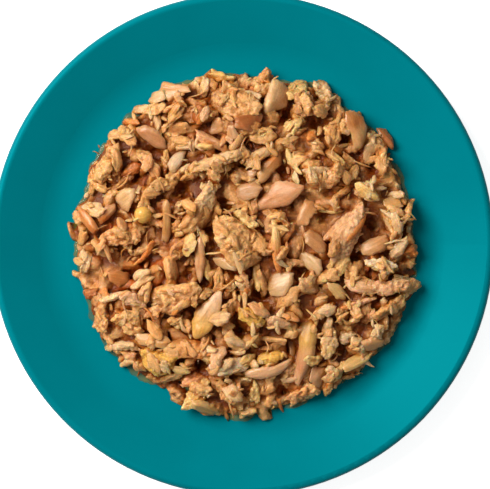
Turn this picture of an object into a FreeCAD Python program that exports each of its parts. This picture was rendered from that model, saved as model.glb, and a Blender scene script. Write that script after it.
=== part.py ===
"""A saucer of flaked wet cat food: a glazed rim plate with a low heap of fish flakes in its well.

Two closed solids in millimetres, +Z up, with the origin on the table under the plate's centre:
  plate      a turned rim plate on a foot ring
  food_heap  the heap of flakes, one solid out to its uneven outline, resting on the flat of the well
"""
import FreeCAD, Part

import math
import os
import random

Vector = FreeCAD.Vector
Rotation = FreeCAD.Rotation
UP = Vector(0, 0, 1)

# ---- plate -------------------------------------------------------------------------------------
plate_diameter = 160.0
plate_wall = 3.4            # thickness of the well and of the rim
well_radius = 57.0          # flat part of the well
well_blend = 20.0           # radius of the curve from the well up into the rim
rim_tilt = 22.0             # degrees above level
foot_radius = 45.0          # outside of the foot ring
foot_width = 4.5
foot_height = 2.4
foot_round = 0.9            # rounding of the foot ring's edges
well_floor = foot_height + plate_wall

# ---- heap: a dome of packed food with flakes over it -------------------------------------------
heap_margin = 5.5           # flat of the well left clear around the dome's mean outline
heap_clearance = 0.5        # least gap from any flake to the end of the well's flat
heap_shift = (1.0, 0.2)     # the heap lies a little off the plate's centre
heap_height = 11.0          # the dome's crown above the well
heap_squareness = 2.7       # exponent of the dome's section: 2 is an ellipse, more is flatter on top
heap_radius = well_radius - heap_margin
outline_lobes = (           # (share of the radius, lobes round the heap, degrees to the first lobe)
    (0.012, 3, 100.0),
    (0.010, 5, 38.0),
    (0.008, 11, 12.0),
)
dome_rings = 6
dome_sides = 28
steepest_share = 0.98       # flakes past this share of the dome's radius stand no steeper

# ---- flakes ------------------------------------------------------------------------------------
flake_corners = 7
flake_unevenness = 0.18         # corners lie up to this share of the size inside a full oval
flake_levels = (                # (share of the outline, share of the thickness) from under to top
    (1.0, -0.5),
    (0.7, 0.5),
)
flake_tip = 13.0                # largest tilt of a flake out of the dome's surface, in degrees
flake_seed = 5
large_thickness = (4.0, 5.6)
large_lift = 0.50               # height of a large flake's middle over the dome, in thicknesses
fill_count = 144                # places tried for smaller flakes between the large ones
fill_length = (10.0, 15.0)
fill_aspect = (0.50, 0.75)      # width over length
fill_thickness = (3.4, 4.8)
fill_lift = 0.15
fill_reach = 0.94               # share of the dome's section, from crown to well, that they cover
skirt_count = 31                # flakes leaning against the dome's foot, all round
skirt_turn = 40.0               # largest turn of such a flake away from lying along the foot, in degrees
skirt_shift = 0.2               # largest shift along the foot, as a share of the space for one
large_cover = 0.48              # share of a large flake's length and width within which no filler goes

# The large flakes that show, as (x, y, length, width, turn in degrees) seen from above.
large_flakes = (
    (-22, 49, 10, 6, -15), (-29.5, 34.5, 11.5, 6, -30), (-21.5, 26, 8.5, 4.5, 55),
    (-36, 39, 8, 4, 5), (-44, 26, 10, 8, 60), (-36, 24, 8, 5, 20), (-28, 22, 8, 4.5, 80),
    (-7, 53, 9, 6, -10), (-3, 46, 13, 9, 10), (-13.5, 42, 8.5, 5, 90), (-8, 37.5, 7, 6, 0),
    (-3, 35, 8, 4, -65), (9.5, 47, 13, 5, 68), (14, 46.5, 8, 7, 80), (-8, 28, 20, 5.5, 12),
    (8.5, 26, 12, 6, 45), (-10, 33, 13, 4, -25), (24.5, 50, 11, 6, -25), (28.5, 35, 11, 6.5, 80),
    (36, 36, 13, 7, -80), (40, 29.5, 7, 4.5, 70), (45.5, 33, 8, 5, -60), (28, 23.5, 9, 5.5, 65),
    (-49, 9.5, 9, 7, -30), (-43, 9.5, 8.5, 4.5, 45), (-37, 14, 10, 6, -10), (-31.5, 9.5, 5.5, 5.5, 0),
    (-24.5, 8, 14, 3.5, 87), (-31, -1.5, 13, 3.5, 25), (-39, 3, 14, 6.5, 12), (-32, -12, 10, 4, 40),
    (-39, -11, 10, 5, -5), (-40, -16.5, 13, 3.5, 15), (-13, 11, 18, 9.5, 62), (-2, 3, 17, 12, -65),
    (-13.5, -4.5, 16, 5, 88), (11.5, 15.5, 17, 7.5, 22), (1, 17, 9, 6, 15), (10.5, 0, 18, 3, -82),
    (14, 3, 10, 3.2, 60), (4.5, -10, 10.5, 3.5, 90), (11, -14, 9, 8, -20), (-22, -15.5, 20, 8, 10),
    (-11.5, -21.5, 16, 9, 65), (21.5, 10.5, 10, 5.5, 100), (33, 6.5, 17, 7, 50), (31, -5, 13, 6.5, 62),
    (45, 4.5, 21, 5.5, 42), (22.5, 0.5, 9.5, 7, 120), (22.5, -6, 10, 5.5, -50), (48, 13, 8, 5, 10),
    (53, -2, 7, 6, 20), (44.5, -6.5, 11.5, 5.5, -15), (42.5, -12, 20, 7, -5), (30, -14.5, 9, 5.5, -45),
    (36, -18.5, 19, 3.5, 18), (50, -17, 9, 4.5, 30), (-29, -30.5, 12, 4, -8), (-38, -32.5, 13, 3.5, -3),
    (-28, -37, 11, 8, -25), (-17, -33, 19, 6.5, -8), (-12, -51.5, 11.5, 5.5, -25), (-4, -38, 14, 5, 0),
    (8, -40.5, 16, 4, 12), (18.5, -35, 20, 7, 95), (2.5, -22.5, 8, 6.5, -20), (9, -35, 9, 5, -15),
    (-5, -26, 10, 4, 70), (-15, -43, 10, 5.5, 0), (4.5, -47, 7, 4.5, 75), (33, -29.5, 8, 5.5, 20),
    (42, -31.5, 9, 5.5, -15), (39.5, -23, 9, 4.5, 60), (36, -37.5, 10, 4.5, 25), (24, -42, 7.5, 6.5, 60),
    (18, -48, 9, 5, 25), (2, -53, 9, 4.5, 10), (-22, -48, 7, 5, -40), (46, 22, 7.5, 5, 20),
)


# ---- plate -------------------------------------------------------------------------------------
def in_section(point):
    return Vector(point[0], 0, point[1])


def line(start, end):
    return Part.makeLine(in_section(start), in_section(end))


def arc(start, middle, end):
    return Part.Arc(in_section(start), in_section(middle), in_section(end)).toShape()


def plate_section():
    """The closed half section of the plate, as a wire in the XZ plane."""
    tilt = math.radians(rim_tilt)
    outward = (math.cos(tilt), math.sin(tilt))
    upward = (-math.sin(tilt), math.cos(tilt))

    def blend_point(radius, angle):
        return (
            well_radius + radius * math.sin(angle),
            well_floor + well_blend - radius * math.cos(angle),
        )

    middle = blend_point(well_blend + plate_wall / 2, tilt)
    rim_run = (plate_diameter / 2 - plate_wall / 2 - middle[0]) / outward[0]

    def lip_point(up, out):
        """A point of the round lip, in half walls above and beyond its centre."""
        return tuple(
            middle[n] + rim_run * outward[n] + plate_wall / 2 * (up * upward[n] + out * outward[n])
            for n in (0, 1)
        )

    slant = math.sqrt(0.5)
    foot_inner = foot_radius - foot_width
    top_blend = [blend_point(well_blend, share * tilt) for share in (0, 0.5, 1)]
    under_blend = [blend_point(well_blend + plate_wall, share * tilt) for share in (1, 0.5, 0)]
    return Part.Wire([
        line((0, foot_height), (0, well_floor)),
        line((0, well_floor), top_blend[0]),
        arc(*top_blend),
        line(top_blend[2], lip_point(1, 0)),
        arc(lip_point(1, 0), lip_point(slant, slant), lip_point(0, 1)),
        arc(lip_point(0, 1), lip_point(-slant, slant), lip_point(-1, 0)),
        line(lip_point(-1, 0), under_blend[0]),
        arc(*under_blend),
        line(under_blend[2], (foot_radius, foot_height)),
        line((foot_radius, foot_height), (foot_radius, 0)),
        line((foot_radius, 0), (foot_inner, 0)),
        line((foot_inner, 0), (foot_inner, foot_height)),
        line((foot_inner, foot_height), (0, foot_height)),
    ])


def is_foot_edge(edge):
    """True for the four circles of the foot ring: two on the table and two under the well."""
    if not isinstance(edge.Curve, Part.Circle):
        return False
    centre, radius = edge.Curve.Center, edge.Curve.Radius
    level = abs(edge.Curve.Axis.z) > 0.99 and centre.z < foot_height + 1e-6
    return level and foot_radius - foot_width - 1e-6 < radius < foot_radius + 1e-6


def make_plate():
    turned = Part.Face(plate_section()).revolve(Vector(0, 0, 0), UP, 360)
    rounded = turned.makeFillet(foot_round, [e for e in turned.Edges if is_foot_edge(e)])
    return rounded.Solids[0]


# ---- heap --------------------------------------------------------------------------------------
def dome_height(share):
    return heap_height * (1 - share**heap_squareness) ** (1 / heap_squareness)


def dome_normal(share, angle):
    """The dome's outward direction at a share of its radius."""
    power = heap_squareness
    steepness = share ** (power - 1) * (1 - share**power) ** (1 / power - 1)
    out = heap_height / heap_radius * steepness
    return Vector(out * math.cos(angle), out * math.sin(angle), 1).normalize()


def section_shares(distances):
    """Shares of the dome's radius at the given shares of the way over it, from crown to well."""
    steps = [math.sin(math.pi / 2 * n / 200) ** (2 / heap_squareness) for n in range(201)]
    walked = [0.0]
    for near, far in zip(steps, steps[1:]):
        fall = dome_height(near) - dome_height(min(far, 1.0))
        walked.append(walked[-1] + math.hypot((far - near) * heap_radius, fall))
    found = []
    for distance in distances:
        place = next(n for n, w in enumerate(walked) if w >= distance * walked[-1])
        found.append(steps[place])
    return found


def outline_radius(angle):
    """Radius of the dome's uneven outline on the well."""
    waves = [
        share * math.cos(lobes * (angle - math.radians(first)))
        for share, lobes, first in outline_lobes
    ]
    return heap_radius * (1 + sum(waves))


def flat_face(points):
    return Part.Face(Part.makePolygon([*points, points[0]]))


def make_dome():
    """The packed food under the flakes, as a faceted dome standing on the well."""
    crown = Vector(heap_shift[0], heap_shift[1], well_floor + heap_height)
    rings = []
    for share in section_shares([n / dome_rings for n in range(1, dome_rings + 1)]):
        height = well_floor + dome_height(min(share, 1.0))
        ring = []
        for side in range(dome_sides):
            angle = 2 * math.pi * (side + len(rings) / 2) / dome_sides
            out = share * outline_radius(angle)
            ring.append(Vector(
                heap_shift[0] + out * math.cos(angle), heap_shift[1] + out * math.sin(angle), height
            ))
        rings.append(ring)
    faces = []
    for n in range(dome_sides):
        m = (n + 1) % dome_sides
        faces.append(flat_face([crown, rings[0][n], rings[0][m]]))
        for upper, lower in zip(rings, rings[1:]):
            faces.append(flat_face([upper[n], lower[n], upper[m]]))
            faces.append(flat_face([upper[m], lower[n], lower[m]]))
    faces.append(flat_face(rings[-1]))
    return Part.makeSolid(Part.makeShell(faces))


def flake_body(dice, length, width, thickness):
    """A flake lying level about the origin: an uneven oval, widest low down and flat on top."""
    corners = []
    for n in range(flake_corners):
        angle = 2 * math.pi * n / flake_corners
        size = 1 - flake_unevenness * dice.random()
        corners.append((size * length / 2 * math.cos(angle), size * width / 2 * math.sin(angle)))
    levels = [
        [Vector(share * x, share * y, height * thickness) for x, y in corners]
        for share, height in flake_levels
    ]
    faces = [flat_face(levels[0]), flat_face(levels[-1])]
    for lower, upper in zip(levels, levels[1:]):
        for n in range(flake_corners):
            m = (n + 1) % flake_corners
            faces.append(flat_face([lower[n], lower[m], upper[m], upper[n]]))
    solid = Part.makeSolid(Part.makeShell(faces))
    if solid.Volume < 0:
        solid.reverse()
    return solid


def lay_flake(dice, x, y, size, turn, lift):
    """A flake laid on the dome at x, y from the plate's axis, kept over the flat of the well."""
    flake = flake_body(dice, *size)
    from_axis = Vector(x - heap_shift[0], y - heap_shift[1], 0)
    angle = math.atan2(from_axis.y, from_axis.x)
    share = min(steepest_share, from_axis.Length / outline_radius(angle))
    normal = dome_normal(share, angle)
    tips = [dice.uniform(-flake_tip, flake_tip) for _ in range(2)]
    lean = Rotation(Vector(1, 0, 0), tips[0]) * Rotation(Vector(0, 1, 0), tips[1])
    flake.Placement = FreeCAD.Placement(
        Vector(x, y, well_floor + dome_height(share)) + normal * (lift * size[2]),
        Rotation(UP, normal) * Rotation(UP, turn) * lean,
    )
    limit = well_radius - heap_clearance
    past = max(math.hypot(v.X, v.Y) for v in flake.Vertexes) - limit
    if past > 0:
        flake.translate(Vector(x, y, 0).normalize() * -past)
    return flake


def is_covered(x, y):
    """True where a large flake already lies."""
    for flake_x, flake_y, length, width, turn in large_flakes:
        offset = Rotation(UP, -turn).multVec(Vector(x - flake_x, y - flake_y, 0))
        if math.hypot(offset.x / length, offset.y / width) < large_cover:
            return True
    return False


def filler_size(dice):
    """Length, width and thickness of a smaller flake."""
    length = dice.uniform(*fill_length)
    return length, length * dice.uniform(*fill_aspect), dice.uniform(*fill_thickness)


def make_flakes():
    dice = random.Random(flake_seed)
    flakes = []
    for x, y, length, width, turn in large_flakes:
        size = (length, width, dice.uniform(*large_thickness))
        flakes.append(lay_flake(dice, x, y, size, turn, large_lift))
    golden_angle = math.pi * (3 - math.sqrt(5))
    ways = [fill_reach * math.sqrt((n + 0.5) / fill_count) for n in range(fill_count)]
    for n, share in enumerate(section_shares(ways)):
        angle = n * golden_angle
        x = heap_shift[0] + share * heap_radius * math.cos(angle)
        y = heap_shift[1] + share * heap_radius * math.sin(angle)
        turn = dice.uniform(0, 180)
        if not is_covered(x, y):
            flakes.append(lay_flake(dice, x, y, filler_size(dice), turn, fill_lift))
    for n in range(skirt_count):
        angle = 2 * math.pi * (n + dice.uniform(-skirt_shift, skirt_shift)) / skirt_count
        x = heap_shift[0] + outline_radius(angle) * math.cos(angle)
        y = heap_shift[1] + outline_radius(angle) * math.sin(angle)
        turn = math.degrees(angle) + 90 + dice.uniform(-skirt_turn, skirt_turn)
        flakes.append(lay_flake(dice, x, y, filler_size(dice), turn, fill_lift))
    return flakes


def make_heap():
    heap = make_dome().multiFuse(make_flakes())
    size = plate_diameter
    above_well = Part.makeBox(size, size, size, Vector(-size / 2, -size / 2, well_floor))
    return heap.common(above_well).Solids[0]


os.makedirs("parts", exist_ok=True)
for name, solid in (("plate", make_plate()), ("food_heap", make_heap())):
    solid.exportStep(f"parts/{name}.step")
    box = solid.BoundBox
    print(
        f"{name}: {solid.ShapeType} valid={solid.isValid()} {solid.Volume / 1000:.1f} cm3",
        f"{len(solid.Faces)} faces, z {box.ZMin:.2f} to {box.ZMax:.2f}",
    )
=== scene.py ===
"""Looks of a plate of flaked cat food: glazed plate, fish flakes, shreds, crumbs and juice.

Shapes are in millimetres in the model's own frame and become metres when a mesh is made.
"""

import math

import bpy
import mathutils
import numpy as np
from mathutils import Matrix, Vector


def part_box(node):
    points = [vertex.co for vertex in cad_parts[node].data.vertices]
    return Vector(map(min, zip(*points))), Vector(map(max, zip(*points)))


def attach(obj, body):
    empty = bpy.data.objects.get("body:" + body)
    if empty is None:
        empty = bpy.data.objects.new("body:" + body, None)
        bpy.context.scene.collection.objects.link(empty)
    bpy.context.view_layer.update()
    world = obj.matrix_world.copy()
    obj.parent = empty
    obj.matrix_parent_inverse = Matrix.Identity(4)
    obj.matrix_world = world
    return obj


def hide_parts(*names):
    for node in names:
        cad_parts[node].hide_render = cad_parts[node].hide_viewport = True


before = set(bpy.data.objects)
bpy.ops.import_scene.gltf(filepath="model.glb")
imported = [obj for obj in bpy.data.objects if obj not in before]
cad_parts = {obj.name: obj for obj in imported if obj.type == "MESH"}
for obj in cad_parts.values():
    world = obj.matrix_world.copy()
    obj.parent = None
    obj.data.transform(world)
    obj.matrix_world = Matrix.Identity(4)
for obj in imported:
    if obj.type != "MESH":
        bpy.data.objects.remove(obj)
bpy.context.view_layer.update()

MM = 0.001
RIM_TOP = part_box("plate")[1][2]  # in metres
heap_low, heap_high = (np.array(corner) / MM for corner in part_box("food_heap"))
WELL = heap_low[2]  # top of the plate's well
CROWN = heap_high[2]  # top of the CAD heap
HEAP_CENTRE = (heap_low + heap_high)[:2] / 2

# The plate's own sizes, as in the CAD source.
WELL_RADIUS = 57.0
WELL_BLEND = 20.0
RIM_TILT = math.radians(22.0)


# ---- colours of the flesh, linear red, green and blue ----
TONES = {
    "tan": (0.73, 0.375, 0.135),
    "pale": (0.75, 0.455, 0.215),
    "cream": (0.78, 0.54, 0.31),
    "straw": (0.76, 0.465, 0.17),
    "pink": (0.75, 0.40, 0.19),
    "rose": (0.70, 0.32, 0.14),
    "blush": (0.75, 0.45, 0.24),
    "peach": (0.74, 0.36, 0.14),
    "orange": (0.688, 0.24, 0.056),
    "rust": (0.464, 0.146, 0.036),
    "golden": (0.75, 0.405, 0.085),
    "mauve": (0.56, 0.26, 0.10),
    "brown": (0.60, 0.275, 0.085),
}

# Tones of the flakes between the large ones, dark to light, and how often each comes.
PLAIN_TONES = ("brown", "orange", "pink", "peach", "tan", "pale", "straw")
PLAIN_SHARES = (0.07, 0.06, 0.07, 0.17, 0.35, 0.20, 0.08)

# ---- flakes that stand out ----
# By their outlines from above: (tone, thickness, x, y, x, y, ...), in mm.
# "a/b" is tone a at the tail and b at the tip, which is the end further right, or further up on a
# steep flake; "a|b" is a on the right of that way and b on the left.
SMOOTH_OUTLINES = (
    ("rose", 3.2, 4, 10.6, 4.3, 13.8, 7.9, 17.2, 10.2, 19.8, 13.9, 20, 19.8, 18.5, 17.7, 15.3,
    14.7, 12.7, 9.4, 11.4),
    ("golden/blush", 3, -7.1, -14.3, -6.8, -19.2, -7.7, -22.9, -9.7, -27.4, -13.1, -29.8,
    -14.9, -30, -16.1, -25.2, -14.9, -20.7, -11.6, -17.7, -9.3, -15.4),
    ("rose/golden", 3.6, 18.4, -24.8, 22.6, -24.4, 23.5, -29.7, 22.9, -34.9, 19.9, -40.9,
    17.7, -45.1, 16.2, -43.2, 16.9, -37.9, 18.1, -31.9, 17.7, -27.4),
    ("cream", 1.8, 14.1, -29.5, 16.2, -30.4, 17.2, -33.4, 16.2, -39, 15, -34.9),
    ("pale", 2.6, -41.9, 15.9, -37.8, 17.7, -33.9, 18, -33.7, 15.3, -35.6, 10.8, -38.2, 10.8,
    -40.4, 13.5),
    ("cream", 2.8, -23.9, 25.8, -22.1, 28.5, -19.1, 30.3, -17.6, 29.6, -19.1, 25.8, -21.3, 22.8,
    -23.2, 23),
    ("rose", 2.6, -34.1, 37.1, -30.3, 38.2, -26.6, 36.3, -24.7, 33, -24.3, 30, -27.3, 30.3,
    -30.3, 32.6, -32.9, 34.8),
    ("peach", 2.4, -26.2, 52.1, -22.1, 51.3, -17.2, 50.6, -15.7, 48.7, -19.1, 48, -22.8, 45.3,
    -25.1, 46.8, -26.9, 47.6),
    ("pink", 2.2, -4.4, 37.8, -2.9, 38.2, -1.1, 34.8, -0.3, 33.3, -3.3, 32.8, -5, 33.7),
    ("mauve|pale", 3.6, 9.4, 52.5, 11.3, 52.5, 13.9, 50.2, 15.8, 48.3, 13.9, 43.8, 10.9, 42.7,
    7.2, 41.2, 6.1, 43.5, 7.9, 48.3),
    ("tan/orange", 3.2, 32.7, 42, 35.7, 42.3, 38.7, 40.8, 39.8, 37.1, 39.1, 33.3, 37.2, 30,
    35.3, 31.1, 34.2, 35.6, 32.3, 38.6),
    ("rust", 2.8, 42.4, 37.1, 45.8, 37.1, 48.1, 34.1, 48.1, 30.3, 46.2, 31.5, 43.9, 34.1),
    ("tan/orange", 3.2, 4.6, 22.8, 5.7, 25.1, 9.4, 28.1, 12.1, 30, 12.8, 27.3, 12.1, 25.1,
    9.4, 22.8, 7.2, 19.8, 4.9, 19.1),
    ("mauve", 2.6, -2.2, 16.8, -1.1, 19.1, 4.2, 19.8, 6.4, 18, 4.9, 15, 1.2, 13.8, -1.8, 15),
    ("mauve", 3.2, 19.2, 3.3, 21.4, 4.7, 24.4, 3.3, 27.1, -0.4, 26.7, -2.7, 23.7, -2.7, 19.9, 0.3),
    ("pale", 2.4, 17.3, -2.3, 20.7, -2.3, 24.8, -4.9, 25.6, -7.9, 23.7, -10.5, 20.7, -7.9,
    18.1, -4.9),
    ("straw", 2.6, 26.3, -11.7, 30.4, -12.4, 33.1, -15.4, 32.7, -18, 29.7, -17.1, 27.4, -14.3),
    ("peach", 3.4, 37.9, 0.3, 41.7, 2.2, 45.8, 3.3, 47, 1.1, 45.1, -1.9, 40.9, -3.8, 37.9, -3),
    ("pink", 2.8, -15.7, 0, -13.1, 3, -11.9, -0.4, -11.6, -5.7, -12.7, -10.9, -13.8, -12.8,
    -14.9, -8.7, -15.3, -4.2),
    ("pale", 2.4, -9.7, -4.2, -6.3, -3.8, -4.4, -4.9, -2.2, -6.8, -1.7, -8.3, -5.6, -8.1,
    -8.9, -6.4),
    ("peach", 2.8, 37.2, -30.4, 42.4, -28.9, 45.4, -30.8, 45.1, -32.3, 41.7, -34.2, 38.7, -33.8),
    ("straw", 3, -16.4, -49.9, -13.8, -49.2, -9.3, -50.7, -6.7, -53.3, -9.3, -54.6, -13.1, -53.7,
    -16.1, -52.2),
    ("pink", 2.8, 0.1, -40.5, 4.9, -38.7, 10.9, -38.7, 14.7, -36.4, 15.4, -37.9, 11.7, -41.3,
    5.7, -42.8, 1.2, -42),
    ("tan", 3, -25.1, 13.8, -23.2, 14.6, -22.4, 10.8, -22.8, 3.3, -23.9, 0, -25.8, 1.1, -25.2, 6.3),
    ("orange", 3, -53, 12.3, -49.8, 10.8, -46.8, 7.8, -45.3, 4.8, -47.6, 3.3, -50.6, 6.3,
    -52.4, 9.3),
    ("orange/pink", 3, -46.4, 8.6, -43.8, 12, -40.4, 13.1, -40.1, 10.8, -42.3, 8.6, -44.9, 6.3),
    ("orange", 2.6, -43.1, -9, -39.3, -8.3, -35.6, -9, -35.6, -12.8, -39.3, -13.5, -42.3, -11.7),
    ("pale", 2.4, 8.3, -10.2, 10.9, -8.3, 16.2, -9, 15.8, -13.2, 13.9, -16.2, 9.4, -16.2,
    7.2, -13.2),
    ("peach", 2.2, 15.8, 4.8, 19.9, 14.6, 22.6, 13.8, 23.5, 10.8, 20.7, 6.3, 16.9, 5.6),
)
FIBROUS_OUTLINES = (
    ("mauve|tan", 4, -31.4, -16.2, -28.1, -13.5, -20.6, -12.4, -14.6, -11.8, -12.7, -14.3,
    -13.8, -16.9, -17.6, -19.9, -22.1, -22.5, -25.8, -21.8, -28.8, -19.2),
    ("cream", 2.8, 38.3, -4.9, 42.4, -4.5, 47.3, -4.9, 49.6, -7.2, 45.4, -9.8, 42.4, -7.9,
    39.4, -6.4),
    ("cream", 2.8, -10.8, -38.7, -6.3, -36, -1.1, -35.8, 2.7, -37.5, 1.9, -39.8, -2.6, -40.9,
    -7.1, -41.7),
    ("pink", 4.2, 27.8, -7.9, 27.4, 0.3, 30.4, 4.8, 34.6, 10.1, 38.7, 13.1, 39.4, 10.1, 37.9, 5.6,
    36.4, 1.1, 34.2, -3.4, 31.2, -7.2),
    ("pink", 3.8, 31.9, -10.9, 36.4, -10.5, 42.4, -11.3, 48.5, -12, 52.6, -10.9, 52.6, -13.9,
    47, -16.2, 39.4, -15.8, 34.2, -15),
    ("brown/pale", 4.6, -21.3, 6.3, -17.6, 10.1, -13.1, 16.8, -10.1, 20.2, -8.6, 18.3, -8.4, 13.8,
    -10.1, 7.8, -13.1, 3.7, -16.8, 3, -19.8, 3.7),
    ("golden", 4.2, -32.9, -34.2, -30.3, -32.7, -25.8, -33.8, -20.6, -35.7, -22.1, -39.4,
    -25.1, -41.7, -28.1, -42, -31.8, -37.9),
    ("tan/orange", 4, -26.6, -31.2, -22.1, -30.4, -16.1, -29.7, -10.1, -30.8, -6.3, -33.8,
    -7.1, -35.3, -11.6, -36, -16.1, -36.4, -22.1, -35.7, -25.8, -33.8),
    ("tan", 4.6, -9.3, 7.8, -5.6, 9.3, -1.1, 7.8, 7.9, 3.3, 8.7, -1.2, 5.7, -4.9, 1.2, -7.9,
    -2.6, -7.5, -5.6, -4.9, -8.6, 1.8),
    ("tan", 4.4, -10.1, 48.3, -5.6, 50.6, 0.4, 49.1, 4.2, 46.8, 6.4, 43.8, 4.9, 40.8, -1.1, 39.3,
    -6.3, 40.8, -10.1, 44.6),
    ("brown", 2.4, -9.3, 39.2, -4.1, 39.5, 1.9, 40.1, 5.7, 38.6, 4.9, 35.6, 0.4, 34.1, -5.6, 34.1,
    -10.1, 36.3),
    ("pale", 4, -17.6, 25.8, -11.6, 27.3, -5.6, 29.2, -0.3, 30.7, 1.2, 28.8, -1.1, 25.8, -7.1, 24.3,
    -13.1, 23.2, -16.1, 23.2),
    ("peach", 3.4, 25.2, 19.8, 26.7, 23.6, 28.9, 26.2, 31.6, 25.1, 31.6, 22.1, 29.7, 19.1,
    26.7, 17.6),
    ("orange/pink", 3, 27.4, -22.5, 29.7, -20.3, 35.7, -17.7, 42.4, -16.2, 43.9, -16.9, 38.7, -19.2,
    33.4, -21, 29.3, -22.9),
    ("golden", 3.6, -1.8, -20.7, 1.2, -19.5, 4.9, -20.7, 7.2, -24.4, 5.7, -26.7, 1.9, -25.2,
    -1.1, -23.3),
    ("golden", 3, 4.2, -35.8, 7.2, -34.2, 11.7, -33.8, 13.9, -34.9, 11.7, -37.2, 7.2, -38.1,
    4.6, -37.9),
    ("peach", 4, -44.6, 3.3, -40.1, 6.3, -34.8, 7.1, -31.8, 4.8, -32.2, 1.1, -37.1, -0.4,
    -42.3, -0.4, -44.9, 1.1),
    ("tan", 3, 46.2, 1.1, 48.5, 6.3, 51.5, 10.8, 53.7, 14.6, 54.8, 13.1, 53, 9.3, 50, 5.6,
    47.7, 0.3),
    ("pale/straw", 3, 24.8, 30.7, 28.2, 30.3, 30.4, 28.1, 33.1, 25.8, 32.3, 24.3, 28.9, 25.8,
    25.6, 28.8),
    ("tan", 3.8, 25.9, 37.1, 28.2, 39.3, 30.8, 40.1, 31.9, 37.1, 30.4, 31.8, 28.2, 30.3,
    26.3, 32.6),
    ("pale", 3.6, 22.2, 52.1, 25.2, 53.6, 27.4, 52.5, 28.9, 47.6, 27.8, 43.8, 24.8, 43.1,
    23.3, 46.8),
    ("mauve", 3.4, 16.2, 47.6, 19.2, 49.1, 22.2, 47.6, 22.9, 42.3, 19.9, 40.1, 16.9, 42.3),
    ("tan", 3.8, -48.3, 19.8, -46.8, 25.1, -44.6, 28.8, -40.8, 30.3, -39.3, 26.6, -41.6, 21.3,
    -44.6, 19.1),
    ("rust", 3.2, -16.1, 41.6, -14.6, 44.2, -12.3, 43.8, -11.9, 38.6, -13.8, 37.8, -15.7, 39),
)

# More flakes, smooth, fibrous and narrow: (x, y, length, width, turn, tone), in mm and degrees.
SLABS = (
    (-27, 47, 7, 5, 20, "pale"), (-8, 37.5, 7, 6, 0, "peach"), (2, 39, 10, 7, 10, "rust"),
    (3, 22.5, 6, 5, 0, "pink"), (-1.5, -5, 8, 4, -60, "pale"), (48, 13, 8, 5, 10, "tan"),
    (-29, -30.5, 12, 4.5, -8, "tan"), (24, -42, 7.5, 6.5, 60, "pale|pink"),
    (40, 29.5, 7, 4.5, 70, "pale"), (46, 22, 5, 4, 0, "straw"), (36, -37.5, 10, 4.5, 25, "straw"),
    (27, -33.5, 4.5, 3.5, 0, "straw"),
)
CHUNKS = (
    (-27, -43.5, 9, 4, -35, "tan"), (-20, -49.5, 8, 4, -25, "pale"), (-36, 39, 8, 4, 5, "orange"),
    (-31, 28, 6, 5, 0, "tan"), (-36, 24, 8, 5, 20, "orange"), (-28, 22, 8, 4.5, 80, "straw"),
    (-32, 43, 8, 4, 10, "pale"), (-27, 39.5, 9, 4, 105, "pale"), (-7, 53, 9, 6, -10, "straw"),
    (-12, 50, 7, 4, 75, "pale"), (-10, 33, 13, 4, -25, "pink"), (26, 45, 6, 5, 60, "straw"),
    (34, 27, 7, 3, -50, "tan"), (22, 25, 6, 5, 30, "tan"), (-31, -1.5, 13, 3.5, 25, "tan"),
    (-32, -12, 11, 4.5, 45, "pale"), (-48, -15.5, 7, 4, 20, "rust"),
    (-40, -16.5, 13, 3.5, 15, "pale"), (-22.5, -8, 10, 5, 100, "tan"),
    (14, 3, 10, 3.5, 60, "orange|pale"), (4.5, -10, 10.5, 3.5, 90, "straw"),
    (33, 6.5, 17, 7, 50, "pink"), (31, -5, 13, 6.5, 62, "straw"), (53, 12, 6, 4, 80, "tan"),
    (53.5, -2, 7, 6, 20, "orange"), (50, -17, 9, 4.5, 30, "pale"), (32, 17, 9, 3, 40, "tan"),
    (-38, -32.5, 13, 3.8, -3, "pale"), (-20.5, -46.5, 8, 5, -40, "peach"),
    (-5, -26, 10, 4, 70, "pale"), (-24.5, -25.5, 7, 4, -10, "golden"),
    (-15, -43, 10, 5.5, 0, "rose"), (4.5, -47, 7, 4.5, 75, "straw"),
    (33, -29.5, 8, 5.5, 20, "cream"), (39.5, -23, 9, 4.5, 60, "pink"), (45, -24, 7, 4, 90, "tan"),
    (18, -48, 9, 5, 25, "peach"), (33.5, -42, 9, 3.5, 0, "tan"), (29, -38, 7, 3.5, -25, "mauve"),
    (27.5, -45, 8, 3.5, 80, "tan"), (2, -53, 9, 4, 15, "tan"), (24, -22, 8, 3.2, 65, "straw"),
    (-50, -5, 8, 5, 80, "pale"), (-51, 2, 7, 4, 70, "tan"), (9, -30, 9.5, 3, -8, "tan"),
)
STRIPS = (
    (10.5, 0, 18, 2.6, -82, "straw/orange"), (16, 26, 10, 1.8, -65, "straw"),
    (36.5, 5.5, 12, 1.8, 58, "orange"), (28, 10.8, 8, 1.2, -5, "straw"),
    (-36.5, -38, 6, 2.2, 20, "pale"), (-2, -31, 8, 2, -20, "pale"), (-2, -34, 6, 1.5, 0, "pale"),
    (11.8, -24, 9, 2.4, 78, "pale"), (-18.5, -26, 7, 1.5, -50, "pale"),
    (-17, 32, 5, 1.2, 100, "pink"), (-15.5, 32, 5, 1.2, 100, "pink"),
    (-14, 32, 5, 1.2, 100, "pink"), (-32, -9.5, 6, 3, 30, "pale"),
)
# Painted shade in the gaps, darker and redder deeper among the flakes: (smoothing, depth where it
# starts, depth over which it grows, in mm, and the tint at the end).
GAP_SHADES = (
    (3.0, -0.2, 2.6, (0.37, 0.19, 0.04)),
    (1.2, 0.2, 0.9, (0.88, 0.62, 0.29)),
)
SKIRT_COUNT = 190  # thin flakes that hide the heap's foot
GOLDEN_BALL = (-31.5, 9.5, 5.6)  # x, y, diameter
MASS_VOXEL, FLAKE_VOXEL = 0.56, 0.42  # grid steps on which flakes grow together, in mm
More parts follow.
